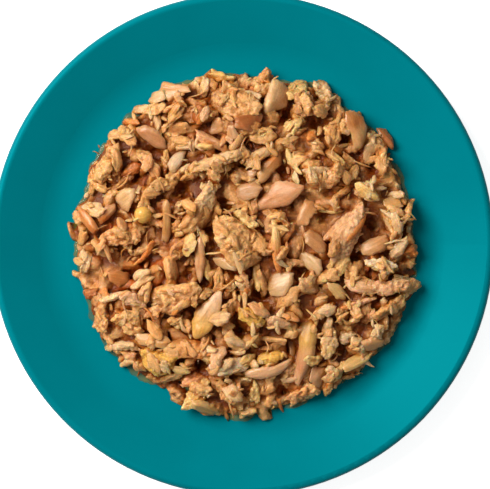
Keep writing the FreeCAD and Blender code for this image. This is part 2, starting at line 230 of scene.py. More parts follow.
# Dark gaps between flakes: x, y.
HOLLOWS = (
    (-28, 29), (-34, 22), (1, 25), (13, 23), (-6, 12), (-10, 5), (33, 33), (36, 28), (41, 25),
    (-32, -5.5), (-27, -13), (-18, -9), (-12, -12), (1, -9.5), (6, -16), (36, -4.5), (40, 6),
    (26, 9), (-23, -29), (-14, -38), (-1, -27), (15, -33), (32, -33), (13, -47), (17, 13),
    (-19, 17), (14, 41), (24, 38), (-36, -10), (19, -8),
)


# ---- numbers with a shape ----
def beside(*parts):
    """Arrays or numbers side by side, on a new last axis."""
    return np.stack(np.broadcast_arrays(*parts), axis=-1)


class Noise:
    """Smooth random values from -1 to 1, from a lattice of random numbers."""

    def __init__(self, seed, size=32):
        self.size = size
        self.values = np.random.default_rng(seed).uniform(-1, 1, (size,) * 3)

    def __call__(self, x, y=0.0, z=0.0):
        points = beside(x, y, z).astype(float)
        cell = np.floor(points).astype(int)
        part = points - cell
        part = part * part * (3 - 2 * part)
        total = 0.0
        for corner in np.ndindex(2, 2, 2):
            weight = np.prod(np.where(corner, part, 1 - part), axis=-1)
            i, j, k = np.moveaxis((cell + corner) % self.size, -1, 0)
            total = total + weight * self.values[i, j, k]
        return total


noise = Noise(3)
GOLDEN_ANGLE = math.pi * (3 - math.sqrt(5))


def plate_top(radius):
    """Height of the plate's upper face at a distance from its axis."""
    into_blend = np.clip(radius - WELL_RADIUS, 0, WELL_BLEND * math.sin(RIM_TILT))
    blend_end = WELL_RADIUS + WELL_BLEND * math.sin(RIM_TILT)
    curve = WELL_BLEND - np.sqrt(WELL_BLEND**2 - into_blend**2)
    return WELL + curve + np.clip(radius - blend_end, 0, None) * math.tan(RIM_TILT)


def cad_outline(directions=72):
    """The CAD heap's largest radius from HEAP_CENTRE in some directions, smoothed."""
    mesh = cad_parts["food_heap"].data
    points = np.array([vertex.co for vertex in mesh.vertices])[:, :2] / MM - HEAP_CENTRE
    turns = np.arctan2(points[:, 1], points[:, 0]) / (2 * math.pi)
    sector = np.floor(turns * directions).astype(int) % directions
    radius = np.zeros(directions)
    np.maximum.at(radius, sector, np.hypot(points[:, 0], points[:, 1]))
    return (np.roll(radius, 1) + 2 * radius + np.roll(radius, -1)) / 4


OUTLINE = cad_outline()


def outline_radius(angle):
    """The outline's radius from HEAP_CENTRE at any angle."""
    place = np.asarray(angle) / (2 * math.pi) * len(OUTLINE) - 0.5
    ring = np.append(OUTLINE, OUTLINE[0])
    return np.interp(place % len(OUTLINE), np.arange(len(ring)), ring)


def drawn(rng, *ranges):
    """A random number from each range."""
    return [rng.uniform(*limits) for limits in ranges]


def all_round(count):
    """Angles evenly all the way round."""
    return 2 * math.pi * np.arange(count) / count


# ---- shapes: (points, quads, tris) in a flake's own frame, x along it ----
BELLY = 0.6  # depth of a facet flake's underside, next to the height of its top
THIN_EDGE = 0.35  # share of its height that is gone at its edges


def quads_of(*corners):
    """Faces from four arrays of their corners' indices."""
    return beside(*corners).reshape(-1, 4)


def tube_faces(rows, columns):
    """Faces of a closed tube: a tail point, rows of columns points, and a tip point."""
    n = np.arange(columns)
    m = (n + 1) % columns
    first = 1 + np.arange(rows - 1)[:, None] * columns
    quads = quads_of(first + n, first + m, first + columns + m, first + columns + n)
    last = 1 + (rows - 1) * columns
    tail = beside(0, 1 + m, 1 + n)
    tip = beside(last + columns, last + n, last + m)
    return quads, np.concatenate([tail, tip])


def tube(centre, across, up):
    """A closed tube round centre points (rows, 3), its offsets across and up (rows, columns)."""
    rows, columns = across.shape
    body = np.repeat(centre[:, None, :], columns, axis=1)
    body[:, :, 1] += across
    body[:, :, 2] += up
    points = np.concatenate([centre[:1], body.reshape(-1, 3), centre[-1:]])
    return points, *tube_faces(rows, columns)


def about_x(x, radius, turn):
    """Points at x along the x axis, a radius away from it and turned about it."""
    return beside(x, radius * np.cos(turn), radius * np.sin(turn))


def stations(rows):
    """Places along x from -1 to 1, closer near the ends, and a unit ball's radius at them."""
    way = np.sin((np.arange(rows) + 0.5) / rows * math.pi - math.pi / 2)[:, None]
    return way, np.sqrt(1 - way**2)


def facet_body(rng, length, width, thickness, rows, columns, sides, sharpness, relief, torn,
               flat=None, lean=0.30, ends=(0.95, 1.25)):
    """A torn flake: a prism of random sides with broken ends, thin-edged, ridged along x.

    relief is the ridges' height and torn the raggedness of the ends, in mm; flat is how far up a
    level top cuts it off, lean how much its sides taper, and ends how far out they are cut.
    """
    turn = (np.arange(sides) + rng.uniform(-0.3, 0.3, sides)) * 2 * math.pi / sides
    turn = turn + rng.uniform(0, 6)
    lean = rng.normal(0, lean, sides)
    slant, spin = rng.uniform(0.1, 0.9, 4), rng.uniform(0, 2 * math.pi, 4)
    normals = np.concatenate([
        about_x(np.sin(lean), np.cos(lean), turn),
        about_x(np.array([1, 1, -1, -1]) * np.cos(slant), np.sin(slant), spin),
    ])
    distances = np.concatenate([rng.uniform(0.62, 1.0, sides), rng.uniform(*ends, 4)])
    if flat:
        level = np.array([rng.normal(0, 0.06), rng.normal(0, 0.12), 1.0])
        normals = np.concatenate([normals, [level / np.linalg.norm(level)]])
        distances = np.append(distances, flat)
    ways = about_x(*stations(rows), all_round(columns)).reshape(-1, 3)
    ways = np.concatenate([[[-1.0, 0, 0]], ways, [[1.0, 0, 0]]])
    closeness = np.clip(ways @ normals.T, 0, None) / distances
    points = ways * ((closeness**sharpness).sum(axis=1) ** (-1 / sharpness))[:, None]
    half = np.array([length, width, thickness]) / 2
    points *= half / np.abs(points).max(axis=0)
    thinned = 1 - THIN_EDGE * (points[:, 1] / half[1]) ** 2
    points[:, 2] *= np.where(points[:, 2] < 0, BELLY, 1.0) * thinned
    outward = points / half**2
    outward /= np.linalg.norm(outward, axis=1, keepdims=True)
    seed = rng.uniform(0, 32, 4)
    x, y, z = points.T
    ridges = noise(x * 0.10 + seed[0], y * 0.9 + seed[1], z * 0.9 + seed[2])
    ridges = ridges + 0.6 * noise(x * 0.22 + seed[2], y * 1.9 + seed[0], z * 1.9 + seed[1])
    lumps = noise(x * 0.30 + seed[1], y * 0.35 + seed[2], z * 0.35 + seed[0])
    points = points + outward * (relief * (ridges + lumps))[:, None]
    near_end = np.clip((np.abs(x) / half[0] - 0.35) / 0.5, 0, 1)
    points[:, 0] += torn * near_end * noise(y * 1.2 + seed[3], z * 1.2 + seed[0], np.sign(x) * 2.0)
    return points, *tube_faces(rows, columns)


def strand(rng, length, radius, rows, columns, wander):
    """A thin fibre along x, thickest in the middle, that wanders by some mm."""
    seed = rng.uniform(0, 32, 3)
    way = np.linspace(0, 1, rows)
    start, end = np.array([[-length / 2, 0, 0], [length / 2, 0, 0]])
    centre = start + (end - start) * way[:, None]
    arch = np.sin(way * math.pi)
    centre[:, 1] += wander * noise(way * 2 + seed[0], seed[1])
    centre[:, 2] += wander * noise(way * 2 + seed[1], seed[2])
    thick = radius * (0.30 + 0.70 * arch**0.5) * (1 + 0.2 * noise(way * 4 + seed[2]))
    turn = all_round(columns) + rng.uniform(0, 6)
    across = thick[:, None] * np.cos(turn) * rng.uniform(1.0, 1.5)
    up = thick[:, None] * np.sin(turn) * rng.uniform(0.7, 1.0)
    return tube(centre, across, up)


def joined(parts):
    """One shape of several."""
    points, quads, tris = [], [], []
    count = 0
    for part_points, part_quads, part_tris in parts:
        points.append(part_points)
        quads.append(part_quads + count)
        tris.append(part_tris + count)
        count += len(part_points)
    return np.concatenate(points), np.concatenate(quads), np.concatenate(tris)


def bent(shape, length, side, up, twist):
    """A shape curved sideways and upwards, by shares of its length, and twisted, in radians."""
    points, quads, tris = shape
    way = points[:, 0] / (length / 2)
    turn = twist * way
    y = points[:, 1] * np.cos(turn) - points[:, 2] * np.sin(turn)
    z = points[:, 1] * np.sin(turn) + points[:, 2] * np.cos(turn)
    curve = (way**2 - 0.33) * length / 2
    return beside(points[:, 0], y + side * curve, z + up * curve), quads, tris


def cut_flake(rng, corners, thickness, fibrous, rings=13, columns=56):
    """A flake of a given outline, thin-edged, smooth or ridged along x."""
    angle = -all_round(columns)
    circle = np.stack([np.cos(angle), np.sin(angle)])
    way = circle.T[:, None]
    start, side = corners, np.roll(corners, -1, axis=0) - corners
    facing = way[..., 0] * side[:, 1] - way[..., 1] * side[:, 0]
    facing = np.where(np.abs(facing) < 1e-9, 1e-9, facing)
    reach = (start[:, 0] * side[:, 1] - start[:, 1] * side[:, 0]) / facing
    share = (start[:, 0] * way[..., 1] - start[:, 1] * way[..., 0]) / facing
    radius = np.where((share >= 0) & (share <= 1) & (reach > 0), reach, 0).max(axis=1)
    seed = rng.uniform(0, 32, 4)
    rim = circle * radius
    edge = noise(*(rim * 0.9 + seed[:2, None])) + 0.8 * noise(*(rim * 2.2 + seed[1:3, None]))
    radius = radius * 1.03 + (0.40 if fibrous else 0.20) * edge
    ring = np.sin((np.arange(rings) + 0.6) / (rings - 0.4) * math.pi / 2)[:, None]
    out = np.concatenate([ring, ring[::-1]]) * radius
    x, y = out * circle[0], out * circle[1]
    wedge = rng.uniform(0, 2 * math.pi)
    wedge = (x * math.cos(wedge) + y * math.sin(wedge)) / radius.max()
    body = np.sqrt(np.clip(1 - ring**5.0, 0, 1)) * (0.72 + 0.40 * wedge[:rings])
    fold = np.abs(y[:rings] / np.abs(y).max() - rng.uniform(-0.3, 0.3))
    body = body * (1.15 - 0.45 * fold)
    slope = rng.normal(0, 0.08, 2)
    lumps = noise(x * 0.28 + seed[0], y * 0.28 + seed[1], seed[2])
    lumps = lumps - np.abs(noise(x * 0.2 + seed[2], y * 0.3, seed[3]))
    ridges = noise(x * 0.12 + seed[1], y * 0.9 + seed[2])
    ridges = ridges + 0.7 * noise(x * 0.25 + seed[2], y * 2.0 + seed[3])
    crumbs = noise(x * 0.9 + seed[3], y * 0.9 + seed[0])
    crumbs = crumbs + noise(x * 2.0 + seed[2], y * 2.0 + seed[1])
    lump_height = min(0.55, 0.2 * thickness) * (1.0 if fibrous else 0.5)
    relief = lump_height * lumps + (0.38 * ridges + 0.20 * crumbs if fibrous else 0.06 * ridges)
    up = np.concatenate([0.62 * body, -0.38 * body[::-1]]) * thickness + x * slope[0] + y * slope[1]
    up = up + np.concatenate([body, 0 * body]) * relief
    points = beside(x, y, up).reshape(-1, 3)
    points = np.concatenate([[[0, 0, up[0].mean()]], points, [[0, 0, up[-1].mean()]]])
    shape = points, *tube_faces(2 * rings, columns)
    return bent(shape, np.ptp(x), 0.0, *drawn(rng, (-0.15, 0.02), (-0.15, 0.15)))


def make_slab(rng, length, width):
    """A smooth flake with few flat sides and thin edges."""
    thickness = min(3.4, 1.2 + 0.28 * width)
    shape = facet_body(rng, length, width, thickness, rows=32, columns=40, sides=6, sharpness=12,
                       relief=0.10, torn=0.7, flat=0.62)
    return bent(shape, length, *drawn(rng, (-0.06, 0.06), (-0.12, 0.08), (-0.3, 0.3)))


def make_shard(rng, length, width):
    """A thin flake with 5 to 8 corners, between an oval and a diamond."""
    count = rng.integers(5, 9)
    power = 1.4  # 2 is an oval and 1 a diamond
    turn = (np.arange(count) + rng.uniform(-0.35, 0.35, count)) * 2 * math.pi / count
    x, y = np.cos(turn), np.sin(turn)
    reach = rng.uniform(0.75, 1.0, count)
    reach = reach / (np.abs(x) ** power + np.abs(y) ** power) ** (1 / power)
    corners = beside(x * reach * length / 2, y * reach * width / 2)
    thickness = min(2.6, 0.7 + 0.25 * width) * rng.uniform(0.8, 1.2)
    return cut_flake(rng, corners, thickness, rng.random() < 0.6, rings=7, columns=28)


def make_chunk(rng, length, width, rows=34, columns=44):
    """Muscle torn from the fish with frayed ends, in up to three layers where wide."""
    thickness = min(5.4, 1.6 + 0.46 * width)
    parts = [facet_body(rng, length, width, thickness, rows, columns, sides=7, sharpness=16,
                        relief=0.20, torn=1.4, flat=0.7)]
    for n in range(int(width > 4.2) + int(width > 7)):
        size = rng.uniform(0.55, 0.8)
        points, quads, tris = facet_body(
            rng, length * size, width * 0.5, thickness * 0.7, rows * 2 // 3, columns * 2 // 3,
            sides=6, sharpness=16, relief=0.15, torn=1.2
        )
        along, across = drawn(rng, (-1, 1), (-0.24, 0.24))
        points = points + (along * length * (1 - size) / 2, across * width, thickness * 0.22)
        parts.append((points, quads, tris))
    return bent(joined(parts), length, *drawn(rng, (-0.12, 0.12), (-0.20, 0.10), (-0.4, 0.4)))


def make_lump(rng, length, width):
    """A soft piece of shredded flesh."""
    thickness = min(5.5, 1.3 + 0.52 * width)
    shape = facet_body(rng, length, width, thickness, rows=20, columns=22, sides=6, sharpness=14,
                       relief=0.18, torn=1.3, lean=0.4, ends=(1.0, 1.5))
    return bent(shape, length, *drawn(rng, (-0.25, 0.25), (-0.30, 0.10), (-0.6, 0.6)))


def make_strip(rng, length, width):
    """A narrow ribbon of flesh."""
    shape = strand(rng, length, width * 0.42, rows=16, columns=8, wander=0.6)
    return bent(shape, length, *drawn(rng, (-0.25, 0.25), (-0.2, 0.1), (-0.8, 0.8)))


def make_shred(rng, length, width):
    """A small torn bit, thin and pointed."""
    thickness = width * rng.uniform(0.3, 0.6)
    shape = facet_body(rng, length, width, thickness, rows=11, columns=12, sides=5, sharpness=18,
                       relief=0.06, torn=0.8, lean=0.5, ends=(1.2, 1.7))
    return bent(shape, length, *drawn(rng, (-0.22, 0.22), (-0.25, 0.20), (-0.8, 0.8)))


def make_crumb(rng, length, width):
    """A blunt little bit."""
    thickness = width * rng.uniform(0.5, 0.8)
    return facet_body(rng, length, width, thickness, rows=6, columns=8, sides=5, sharpness=10,
                      relief=0.05, torn=0.4, lean=0.4)


def make_fibre(rng, length, width):
    """One thread of muscle."""
    shape = strand(rng, length, width / 2, rows=8, columns=5, wander=0.5)
    return bent(shape, length, *drawn(rng, (-0.4, 0.4), (-0.3, 0.1)), 0.0)


def make_ball(rng, length, width, rows=20, columns=28):
    """A round lump with shallow bumps."""
    way, swell = stations(rows)
    turn = all_round(columns)
    y, z = np.cos(turn), np.sin(turn)
    bumps = 1 + 0.06 * noise(way * 1.5, y * 1.5, z * 1.5)
    centre = np.hstack([way * length / 2, 0 * way, 0 * way])
    return tube(centre, swell * y * bumps * width / 2, swell * z * bumps * width / 2)


# ---- the ground that flakes come to rest on ----
class Ground:
    """Heights of the heap so far, on a grid about the plate's axis, and where large flakes lie."""

    cell, half = 0.6, 66.0  # the grid's step and half its side, in mm
    # A flake rests on peaks, but at most press mm above where it rests on most of its points.
    peaks, most = 93, 65  # percentiles of the gaps under it
    press = 1.1

    def __init__(self):
        count = int(2 * self.half / self.cell)
        line = (np.arange(count) + 0.5) * self.cell - self.half
        x, y = np.meshgrid(line, line, indexing="ij")
        self.heights = plate_top(np.hypot(x, y))
        self.taken = np.zeros(x.shape, bool)
        self.smoothed = {}

    def cells(self, x, y):
        """Indices of the grid's cells that places lie in."""
        steps = [((np.asarray(way) + self.half) / self.cell).astype(int) for way in (x, y)]
        return tuple(np.clip(step, 0, len(self.heights) - 1) for step in steps)

    def height(self, place, n=2):
        """Mean height over a small square."""
        i, j = self.cells(*place)
        return self.heights[max(i - n, 0):i + n + 1, max(j - n, 0):j + n + 1].mean()

    def reserve(self, corners):
        """Keeps the ground inside an outline for the flake that has it."""
        corners = np.array(corners).reshape(-1, 2)
        shares = np.linspace(0, 1, 14)[:, None, None]
        edge = (corners + (np.roll(corners, -1, axis=0) - corners) * shares).reshape(-1, 2)
        inside = corners.mean(axis=0) + (edge - corners.mean(axis=0)) * shares
        self.taken[self.cells(inside[..., 0], inside[..., 1])] = True

    def depth(self, points, spread):
        """How far points lie under the heap's surface smoothed over a spread in mm."""
        if spread not in self.smoothed:
            reach = np.exp(-0.5 * (np.arange(-14, 15) * self.cell / spread) ** 2)
            reach /= reach.sum()
            across = np.apply_along_axis(np.convolve, 0, self.heights, reach, "same")
            self.smoothed[spread] = np.apply_along_axis(np.convolve, 1, across, reach, "same")
        return self.smoothed[spread][self.cells(*points.T[:2])] - points[:, 2]

    def rest(self, points, sink):
        """Points moved up or down onto the ground and then sunk in by some mm."""
        cells = self.cells(*points.T[:2])
        gaps = self.heights[cells] - points[:, 2]
        on_peaks, on_most = np.percentile(gaps, (self.peaks, self.most))
        rested = points + (0, 0, min(on_peaks, on_most + self.press) - sink)
        np.maximum.at(self.heights, cells, rested[:, 2])
        return rested


ground = Ground()


def gap_shaded(tints, points):
    """Tints darker and redder where the points lie deep among the flakes: painted shade in the
    gaps.
    """
    for spread, start, depth, tint in GAP_SHADES:
        share = np.clip((ground.depth(points, spread) - start) / depth, 0, 1)[:, None]
        tints = tints * (1 - share * (1 - np.array(tint)))
    return tints


class Kind:
    """All flakes of one kind, which become one mesh; rim is how much painted highlight pales their
    edges.
    """

    def __init__(self, name, maker, seed, rim=0.0, lightness=1.0):
        self.name = name
        self.maker = maker
        self.rim = rim
        self.lightness = lightness
        self.rng = np.random.default_rng(seed)
        self.shapes, self.grains, self.tints = [], [], []

    def cut(self, corners, thickness, fibrous, tone, large=True, **how):
        """Makes a flake with corners seen from above and lays it there."""
        corners = np.array(corners).reshape(-1, 2)
        turned = np.roll(corners, -1, axis=0)
        piece = corners[:, 0] * turned[:, 1] - turned[:, 0] * corners[:, 1]
        centre = ((corners + turned) * piece[:, None]).sum(axis=0) / (3 * piece.sum())
        spread = (corners - centre).T @ (corners - centre)
        along = np.linalg.eigh(spread)[1][:, 1]
        along = along * (1 if along[0] > 0.35 or along[1] > 0.94 else -1)
        local = (corners - centre) @ np.array([along, (-along[1], along[0])]).T
        length, width = np.ptp(local, axis=0)
        shape = cut_flake(self.rng, local, thickness, fibrous)
        turn = math.degrees(math.atan2(along[1], along[0]))
        self.lay(*centre, length, width, turn, tone, shape=shape, large=large, **how)

    def lay(self, x, y, length, width, turn, tone, sink=0.6, most_tilt=0.5, large=False,
            shape=None, tumble=0.08):
        """Lays a new flake along turn degrees, leaning as the ground does.

        most_tilt and tumble, its random lean, are radians. A large one keeps others off.
        """
        shape = shape or self.maker(self.rng, length, width)
        points = shape[0]
        self.grains.append(points + self.rng.uniform(0, 500, 3))
        self.tints.append(self.tinted(points, length, width, tone))
        angle = math.radians(turn)
        along = np.array([math.cos(angle), math.sin(angle)])
        across = np.array([-along[1], along[0]])
        axes = []
        for way, reach in ((along, length / 3), (across, width / 3)):
            rise = ground.height((x, y) + way * reach)
            fall = ground.height((x, y) - way * reach)
            lean = math.atan2(rise - fall, 2 * reach) + self.rng.normal(0, tumble)
            lean = np.clip(lean, -most_tilt, most_tilt)
            axes.append([*(way * math.cos(lean)), math.sin(lean)])
        forward, left = np.array(axes)
        upward = np.cross(forward, left)
        upward /= np.linalg.norm(upward)
        left = np.cross(upward, forward)
        placed = points @ np.array([forward, left, upward]) + (x, y, 0)
        if large:
            ground.taken[ground.cells(*placed.T[:2])] = True
        self.shapes.append((ground.rest(placed, sink), *shape[1:]))

    def tinted(self, points, length, width, tone):
        """A colour for each point: one tone, or two blended along the flake or across it."""
        x, y = points[:, 0] / length, points[:, 1] / width
        way = (y if "|" in tone else x) + 0.5
        share = np.clip((way - 0.25) / 0.5, 0, 1)[:, None]
        share = share * share * (3 - 2 * share)
        first, *rest = (np.array(TONES[name]) for name in tone.replace("|", "/").split("/"))
        colour = first * (1 - share) + rest[0] * share if rest else first
        # Painted highlight: the edges turn paler, by rim, towards the pale tone.
        rim = np.clip(np.hypot(x, y) * 4 - 1.2, 0, 1)[:, None]
        colour = colour * (1 - self.rim * rim) + np.array(TONES["pale"]) * self.rim * rim
        return colour * self.lightness * self.rng.uniform(0.90, 1.10)

    def build(self, material):
        points, quads, tris = joined(self.shapes)
        piece = make_piece(self.name, points, quads, tris, material)
        paint(piece.data, gap_shaded(np.concatenate(self.tints), points), np.concatenate(self.grains))
        return piece


def paint(mesh, tints, grains):
    """Gives each point its tint and its place along and across its flake's fibres."""
    tint = mesh.attributes.new("tint", "FLOAT_COLOR", "POINT")
    colours = np.column_stack([tints, np.ones(len(tints))]).astype(np.float32)
    tint.data.foreach_set("color", colours.ravel())
    grain = mesh.attributes.new("grain", "FLOAT_VECTOR", "POINT")
    grain.data.foreach_set("vector", grains.astype(np.float32).ravel())


def in_scene(name, data):
    thing = bpy.data.objects.new(name, data)
    bpy.context.scene.collection.objects.link(thing)
    return thing


def new_mesh(name, points, quads, tris):
    mesh = bpy.data.meshes.new(name)
    mesh.from_pydata((points * MM).tolist(), [], quads.tolist() + tris.tolist())
    return mesh


def make_piece(name, points, quads, tris, material):
    """A smooth mesh piece of the food, riding with the plate."""
    mesh = new_mesh(name, points, quads, tris)
    mesh.polygons.foreach_set("use_smooth", [True] * len(mesh.polygons))
    mesh.materials.append(material)
    piece = in_scene(name, mesh)
    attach(piece, "root")
    return piece


# ---- materials ----
class Nodes:
    """A new material and a short way to add nodes to it."""

    def __init__(self, name):
        self.material = bpy.data.materials.new(name)
        self.material.use_nodes = True
        self.tree = self.material.node_tree
        self.shader = self.tree.nodes["Principled BSDF"]

    def add(self, kind, values=(), **settings):
        node = self.tree.nodes.new("ShaderNode" + kind)
        for key, value in settings.items():
            setattr(node, key, value)
        for key, value in dict(values).items():
            if isinstance(value, bpy.types.NodeSocket):
                self.tree.links.new(value, node.inputs[key])
            else:
                node.inputs[key].default_value = value
        return node

    def set(self, **values):
        """Sets or links the shader's own sockets."""
        for key, value in values.items():
            socket = self.shader.inputs[key.replace("_", " ")]
            if isinstance(value, bpy.types.NodeSocket):
                self.tree.links.new(value, socket)
            else:
                socket.default_value = value

    def noise(self, vector, scale, detail=2.0, roughness=0.5):
        values = {"Vector": vector, "Scale": scale, "Detail": detail, "Roughness": roughness}
        return self.add("TexNoise", values).outputs["Fac"]

    def ramp(self, value, to_low, to_high, low=0.3, high=0.7):
        """A value moved from the range low to high to the range to_low to to_high."""
        return self.add("MapRange", enumerate((value, low, high, to_low, to_high))).outputs[0]

    def place(self):
        return self.add("TexCoord").outputs["Object"]

    def scaled(self, colour, factor):
        return self.add("VectorMath", {0: colour, "Scale": factor}, operation="SCALE").outputs[0]

    def maths(self, operation, a, b, kind="Math"):
        return self.add(kind, {0: a, 1: b}, operation=operation).outputs[0]

    def mixed(self, factor, a, b, blend="MIX"):
        values = {0: factor, 6: a, 7: b}
        return self.add("Mix", values, data_type="RGBA", blend_type=blend).outputs[2]

    def stretched(self, vector, scale):
        return self.maths("MULTIPLY", vector, scale, "VectorMath")


def flesh_material(name, streaks, roughness, bump, wet):
    """Moist cooked fish: each flake's tint, streaked along its fibres, blotched and pitted."""
    n = Nodes(name)
    tint = n.add("Attribute", attribute_name="tint").outputs["Color"]
    grain = n.add("Attribute", attribute_name="grain").outputs["Vector"]
    place = n.stretched(n.place(), (1000.0, 1000.0, 1000.0))
    fibres = n.noise(n.stretched(grain, (0.22, 1.6, 1.6)), 1.0, 4.0, 0.6)
    blotches = n.noise(place, 0.16, 3.0, 0.6)
    fine = n.noise(n.stretched(grain, (0.8, 2.4, 2.4)), 1.0, 3.0, 0.7)
    colour = n.scaled(tint, n.ramp(fibres, 1 - streaks, 1 + streaks * 0.5))
    browned = n.mixed(1.0, colour, (0.86, 0.70, 0.50, 1.0), "MULTIPLY")
    colour = n.mixed(n.ramp(blotches, 0.0, 0.9, 0.44, 0.66), colour, browned)
    pits = n.noise(place, 1.9, 2.0, 0.6)
    colour = n.scaled(colour, n.ramp(pits, 1 - 0.45 * streaks, 1 + 0.40 * streaks, 0.35, 0.65))
    heights = n.maths("ADD", n.maths("ADD", fibres, fine), pits)
    relief = n.add("Bump", {"Strength": bump, "Distance": 0.0004, "Height": heights})
    n.set(
        Base_Color=colour,
        Roughness=n.ramp(fine, roughness - 0.08, roughness + 0.12),
        Normal=relief.outputs["Normal"],
        Specular_IOR_Level=0.3,
        Specular_Tint=(1.0, 0.75, 0.45, 1.0),
        Subsurface_Weight=0.5,
        Subsurface_Scale=0.0016,
        Subsurface_Radius=(1.0, 0.28, 0.08),
        Coat_Weight=wet,
        Coat_Roughness=0.10,
        Coat_Normal=relief.outputs["Normal"],
    )
    return n.material


def glaze_material():
    """Glossy teal glaze, slightly mottled."""
    n = Nodes("teal_glaze")
    place = n.place()
    mottle = n.noise(place, 60.0, 4.0, 0.5)
    speckle = n.noise(place, 900.0, 2.0, 0.5)
    share = n.ramp(mottle, 0.0, 1.0)
    colour = n.mixed(share, (0.0, 0.162, 0.191, 1.0), (0.0, 0.171, 0.202, 1.0))
    relief = n.add("Bump", {"Strength": 0.05, "Distance": 0.0002, "Height": speckle})
    n.set(
        Base_Color=colour,
        Roughness=n.ramp(mottle, 0.34, 0.38),
        Specular_IOR_Level=0.2,
        Specular_Tint=(0.0, 0.75, 0.80, 1.0),
        Normal=relief.outputs["Normal"],
    )
    return n.material


# ---- stage, light and camera, in metres and watts ----
FLOOR_HALF = 3.0
FLOOR_GLOW = 0.8  # what the camera alone sees, to bring the floor up to white
LAMP_AZIMUTH, LAMP_ELEVATION = math.radians(150), math.radians(46)
LAMP_DISTANCE, LAMP_SIZE, LAMP_POWER = 0.9, 0.62, 12.5
WORLD_STRENGTH = 0.27
SHOWN_WIDTH, AIM_X = 155.7 * MM, 0.8 * MM
CAMERA_DISTANCE = 1.0  # above the rim


def make_stage():
    """A pale floor that shows white."""
    mesh = bpy.data.meshes.new("floor")
    corners = [(x * FLOOR_HALF, y * FLOOR_HALF, 0) for x, y in ((-1, -1), (1, -1), (1, 1), (-1, 1))]
    mesh.from_pydata(corners, [], [(0, 1, 2, 3)])
    n = Nodes("floor")
    seen = n.add("LightPath").outputs["Is Camera Ray"]
    n.set(
        Base_Color=(0.85, 0.85, 0.85, 1.0),
        Roughness=0.6,
        Emission_Color=(1.0, 1.0, 1.0, 1.0),
        Emission_Strength=n.maths("MULTIPLY", seen, FLOOR_GLOW),
    )
    mesh.materials.append(n.material)
    in_scene("floor", mesh)


def make_light():
    """A soft lamp from the upper left, and a dim white world."""
    lamp = bpy.data.lights.new("softbox", "AREA")
    lamp.shape = "DISK"
    lamp.size = LAMP_SIZE
    lamp.energy = LAMP_POWER
    light = in_scene("softbox", lamp)
    level = math.cos(LAMP_ELEVATION)
    away = np.array([
        math.cos(LAMP_AZIMUTH) * level, math.sin(LAMP_AZIMUTH) * level, math.sin(LAMP_ELEVATION)
    ])
    light.location = away * LAMP_DISTANCE
    light.rotation_euler = light.location.to_track_quat("Z", "Y").to_euler()
    world = bpy.data.worlds.new("studio")
    world.use_nodes = True
    background = world.node_tree.nodes["Background"]
    background.inputs["Color"].default_value = (1, 1, 1, 1)
    background.inputs["Strength"].default_value = WORLD_STRENGTH
    bpy.context.scene.world = world


def make_camera():
    """Straight above, framing almost the whole plate."""
    camera = bpy.data.cameras.new("camera")
    camera.sensor_width = 36.0
    camera.lens = camera.sensor_width * CAMERA_DISTANCE / SHOWN_WIDTH
    viewer = in_scene("camera", camera)
    viewer.location = (AIM_X, 0, RIM_TOP + CAMERA_DISTANCE)
    bpy.context.scene.camera = viewer
    bpy.context.scene.view_settings.view_transform = "Standard"


# ---- the heap ----
DOME_FALL, DOME_FOOT = 2.4, 1 / 2.2  # how late the dome falls, and how steep its foot is
HOLLOW_DEPTH, HOLLOW_RADIUS = 3.5, 2.2


def make_dome(under, cells=150, margin=1.6, flakes_above=10.0):
    """The dome that the flakes lie on, which becomes the first shape of a kind."""
    line = (np.arange(cells + 1) / cells) * 2 - 1
    a, b = np.meshgrid(line, line, indexing="ij")
    share = np.maximum(np.abs(a), np.abs(b))
    angle = np.arctan2(b, a)
    reach = share * (outline_radius(angle) - margin)
    x = HEAP_CENTRE[0] + reach * np.cos(angle)
    y = HEAP_CENTRE[1] + reach * np.sin(angle)
    z = WELL + (CROWN - WELL - flakes_above) * np.clip(1 - share**DOME_FALL, 0, 1) ** DOME_FOOT
    for hollow in HOLLOWS:
        away = (x - hollow[0]) ** 2 + (y - hollow[1]) ** 2
        z -= HOLLOW_DEPTH * np.exp(-(away / HOLLOW_RADIUS**2))
    top = beside(x, y, np.maximum(z, WELL)).reshape(-1, 3)
    np.maximum.at(ground.heights, ground.cells(*top.T[:2]), top[:, 2])
    index = np.arange((cells + 1) ** 2).reshape(cells + 1, cells + 1)
    quads = quads_of(index[:-1, :-1], index[1:, :-1], index[1:, 1:], index[:-1, 1:])
    border = np.concatenate([index[:-1, 0], index[-1, :-1], index[:0:-1, -1], index[0, :0:-1]])
    tris = beside(np.roll(border, -1), border, len(top))
    points = np.concatenate([top, [[*HEAP_CENTRE, WELL]]])
    under.shapes.append((points, quads, tris))
    under.grains.append(points.copy())
    under.tints.append(np.tile(TONES["brown"], (len(points), 1)))


def voxel_remeshed(points, quads, tris, voxel):
    """Shapes merged on a grid: (points, normals, quads)."""
    mesh = new_mesh("loose", points, quads, tris)
    loose = in_scene("loose", mesh)
    remesh = loose.modifiers.new("remesh", "REMESH")
    remesh.mode = "VOXEL"
    remesh.voxel_size = voxel * MM
    evaluated = loose.evaluated_get(bpy.context.evaluated_depsgraph_get())
    merged = bpy.data.meshes.new_from_object(evaluated)
    grown, normals = (np.empty(len(merged.vertices) * 3, np.float32) for _ in range(2))
    merged.vertices.foreach_get("co", grown)
    merged.vertices.foreach_get("normal", normals)
    faces = np.empty(len(merged.loops), np.int32)
    merged.loops.foreach_get("vertex_index", faces)
    bpy.data.objects.remove(loose)
    bpy.data.meshes.remove(mesh)
    bpy.data.meshes.remove(merged)
    return grown.reshape(-1, 3).astype(float) / MM, normals.reshape(-1, 3), faces.reshape(-1, 4)


def nearest_indices(points, places):
    """For each place, which of the points is nearest."""
    tree = mathutils.kdtree.KDTree(len(points))
    for n, point in enumerate(points.tolist()):
        tree.insert(point, n)
    tree.balance()
    return np.array([tree.find(place)[1] for place in places.tolist()])


